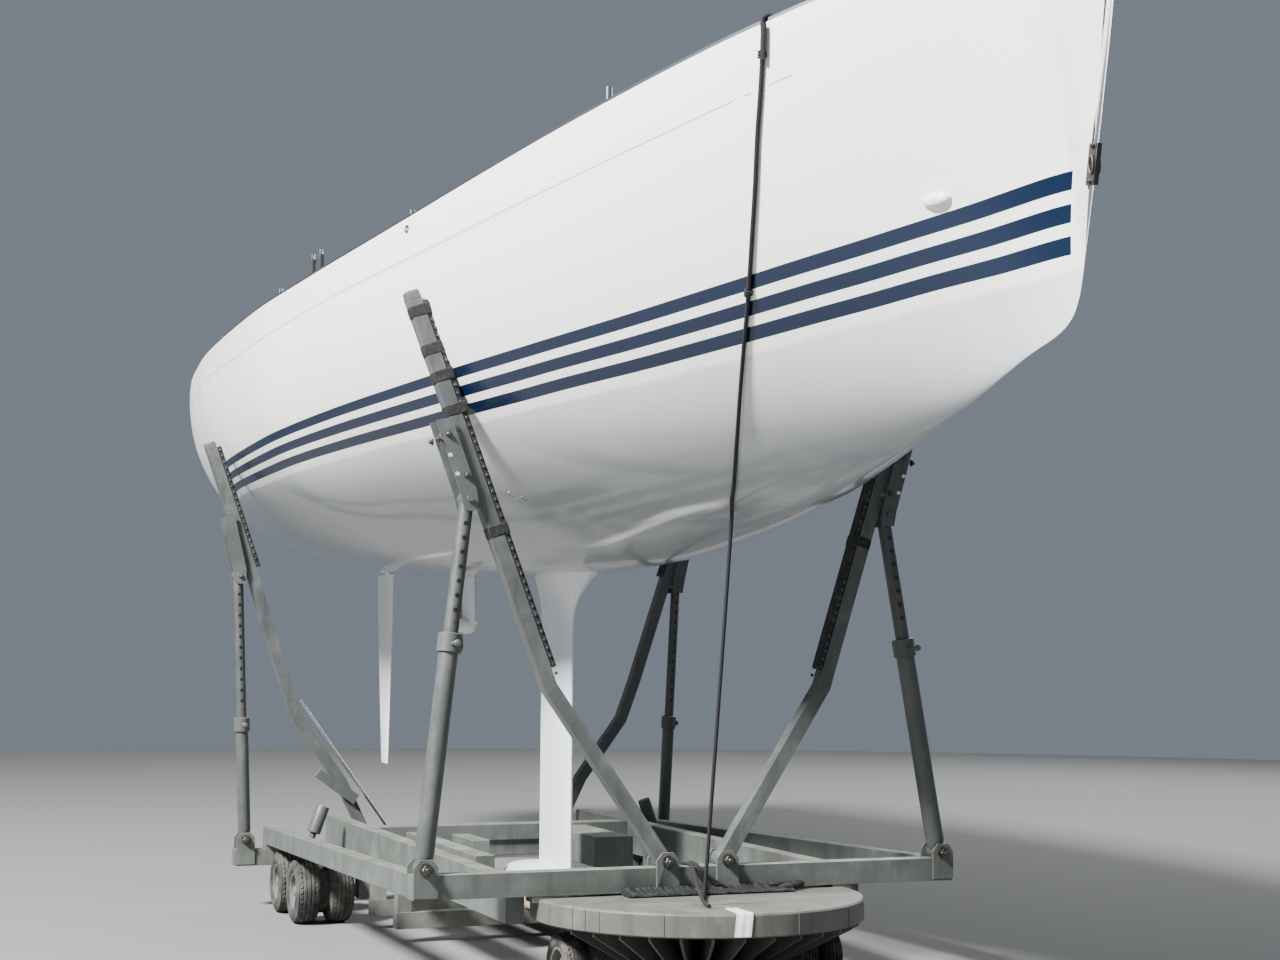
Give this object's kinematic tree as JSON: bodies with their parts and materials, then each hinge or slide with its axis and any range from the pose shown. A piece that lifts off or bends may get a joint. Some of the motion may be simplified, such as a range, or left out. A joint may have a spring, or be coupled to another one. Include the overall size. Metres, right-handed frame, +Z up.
{
  "type": "sailing yacht on a yard transporter",
  "caption": "Fin-keel sailing yacht with spade rudder and unstepped mast, held by padded arms on a wheeled yard transporter with a front turntable.",
  "frame": {"origin": "on the ground under the middle of the whole length and width", "axes": "+X towards the bow and the towing eye, +Y to port, +Z up"},
  "size_m": [12.318, 3.8666, 4.5726],
  "materials": {
    "white_gelcoat": "gloss white gelcoat with plain navy stripes on the topsides",
    "bottom_paint": "matt grey-white bottom paint over primer",
    "bronze": "dull bronze",
    "tinted_acrylic": "smoke-tinted acrylic",
    "anodised_aluminium": "satin anodised",
    "stainless_steel": "polished stainless steel",
    "dark_rope": "plaited navy-black rope",
    "black_rubber": "matt black rubber strip",
    "tyre": "dusty black rubber",
    "timber": "weathered softwood",
    "grey_paint": "satin grey-green machine paint, chipped and rusty at edges"
  },
  "bodies": {
    "hull_and_frame": {"hull": "white_gelcoat", "keel_fin": "bottom_paint", "keel_bulb": "bottom_paint", "rudder_bearing": "bottom_paint", "sail_drive": "bottom_paint", "deckhouse": "white_gelcoat", "fore_hatch_frame": "anodised_aluminium", "helm_pedestal_port": "white_gelcoat", "helm_pedestal_starboard": "white_gelcoat", "winch_port": "stainless_steel", "winch_starboard": "stainless_steel", "mast_collar": "anodised_aluminium", "toe_rail_port": "anodised_aluminium", "toe_rail_starboard": "anodised_aluminium", "stem_fitting": "stainless_steel", "outlet_cover": "white_gelcoat", "bow_lashing": "dark_rope", "front_beam": "grey_paint", "aft_beam": "grey_paint", "front_arm_port": "grey_paint", "front_arm_pad_port": "black_rubber", "front_strut_port": "grey_paint", "front_arm_starboard": "grey_paint", "front_arm_pad_starboard": "black_rubber", "front_strut_starboard": "grey_paint", "aft_arm_port": "grey_paint", "aft_arm_pad_port": "black_rubber", "aft_strut_port": "grey_paint", "aft_arm_starboard": "grey_paint", "aft_arm_pad_starboard": "black_rubber", "aft_strut_starboard": "grey_paint", "side_beam_port": "grey_paint", "side_beam_starboard": "grey_paint", "keel_cross_fore": "grey_paint", "keel_cross_mid": "grey_paint", "keel_plank": "timber", "wheel_carrier_port": "grey_paint", "wheel_carrier_starboard": "grey_paint", "frame_cross": "grey_paint"},
    "rudder": {"rudder": "bottom_paint"},
    "helm_wheel_port": {"helm_wheel_port": "stainless_steel"},
    "helm_wheel_starboard": {"helm_wheel_starboard": "stainless_steel"},
    "propeller": {"propeller": "bronze"},
    "fore_hatch_lid": {"fore_hatch_lid": "tinted_acrylic"},
    "companion_hatch": {"companion_hatch": "tinted_acrylic"},
    "locker_lid_port": {"locker_lid_port": "white_gelcoat"},
    "locker_lid_starboard": {"locker_lid_starboard": "white_gelcoat"},
    "turntable": {"turntable": "grey_paint"},
    "bogie_wheels_port": {"wheel_bogie_port": "tyre"},
    "bogie_wheels_starboard": {"wheel_bogie_starboard": "tyre"},
    "twin_wheel_fore_port": {"wheel_fore_port_tyres": "tyre", "wheel_fore_port_rim": "grey_paint"},
    "twin_wheel_fore_starboard": {"wheel_fore_starboard_tyres": "tyre", "wheel_fore_starboard_rim": "grey_paint"},
    "twin_wheel_aft_port": {"wheel_aft_port_tyres": "tyre", "wheel_aft_port_rim": "grey_paint"},
    "twin_wheel_aft_starboard": {"wheel_aft_starboard_tyres": "tyre", "wheel_aft_starboard_rim": "grey_paint"}
  },
  "joints": [
    {"name": "rudder_turn", "type": "hinge", "parent": "hull_and_frame", "child": "rudder", "pos_m": [-4.369, 0, 2.46], "axis": [0, 0, 1], "range_deg": [-35, 35]},
    {"name": "helm_port_turn", "type": "hinge", "parent": "hull_and_frame", "child": "helm_wheel_port", "pos_m": [-4.529, 0.72, 4.13], "axis": [1, 0, 0], "range_deg": [-226, 226]},
    {"name": "helm_starboard_turn", "type": "hinge", "parent": "hull_and_frame", "child": "helm_wheel_starboard", "pos_m": [-4.529, -0.72, 4.13], "axis": [1, 0, 0], "range_deg": [-226, 226]},
    {"name": "propeller_spin", "type": "hinge", "parent": "hull_and_frame", "child": "propeller", "pos_m": [-2.13, 0, 1.985], "axis": [1, 0, 0], "continuous": true},
    {"name": "fore_hatch_open", "type": "hinge", "parent": "hull_and_frame", "child": "fore_hatch_lid", "pos_m": [3.961, 0, 4.2855], "axis": [0, 1, 0], "range_deg": [0, 95]},
    {"name": "companion_hatch_slide", "type": "slide", "parent": "hull_and_frame", "child": "companion_hatch", "axis": [1, 0, 0], "range_m": [0, 0.6]},
    {"name": "locker_port_open", "type": "hinge", "parent": "hull_and_frame", "child": "locker_lid_port", "pos_m": [-3.02, 1.074, 3.7403], "axis": [-1, 0, 0], "range_deg": [0, 85]},
    {"name": "locker_starboard_open", "type": "hinge", "parent": "hull_and_frame", "child": "locker_lid_starboard", "pos_m": [-3.02, -1.074, 3.7403], "axis": [1, 0, 0], "range_deg": [0, 85]},
    {"name": "turntable_steer", "type": "hinge", "parent": "hull_and_frame", "child": "turntable", "pos_m": [2.391, 0, 0.44], "axis": [0, 0, 1], "range_deg": [-60, 60]},
    {"name": "bogie_port_spin", "type": "hinge", "parent": "turntable", "child": "bogie_wheels_port", "pos_m": [2.391, 0.64, 0.18], "axis": [0, 1, 0], "continuous": true},
    {"name": "bogie_starboard_spin", "type": "hinge", "parent": "turntable", "child": "bogie_wheels_starboard", "pos_m": [2.391, -0.64, 0.18], "axis": [0, 1, 0], "continuous": true},
    {"name": "wheel_fore_port_spin", "type": "hinge", "parent": "hull_and_frame", "child": "twin_wheel_fore_port", "pos_m": [-1.049, 1.24, 0.208], "axis": [0, 1, 0], "continuous": true},
    {"name": "wheel_fore_starboard_spin", "type": "hinge", "parent": "hull_and_frame", "child": "twin_wheel_fore_starboard", "pos_m": [-1.049, -1.24, 0.208], "axis": [0, 1, 0], "continuous": true},
    {"name": "wheel_aft_port_spin", "type": "hinge", "parent": "hull_and_frame", "child": "twin_wheel_aft_port", "pos_m": [-1.649, 1.24, 0.208], "axis": [0, 1, 0], "continuous": true},
    {"name": "wheel_aft_starboard_spin", "type": "hinge", "parent": "hull_and_frame", "child": "twin_wheel_aft_starboard", "pos_m": [-1.649, -1.24, 0.208], "axis": [0, 1, 0], "continuous": true}
  ],
  "couplings": [
    {"joint": "helm_port_turn", "follows": "rudder_turn", "ratio": 6.4},
    {"joint": "helm_starboard_turn", "follows": "rudder_turn", "ratio": 6.4}
  ]
}
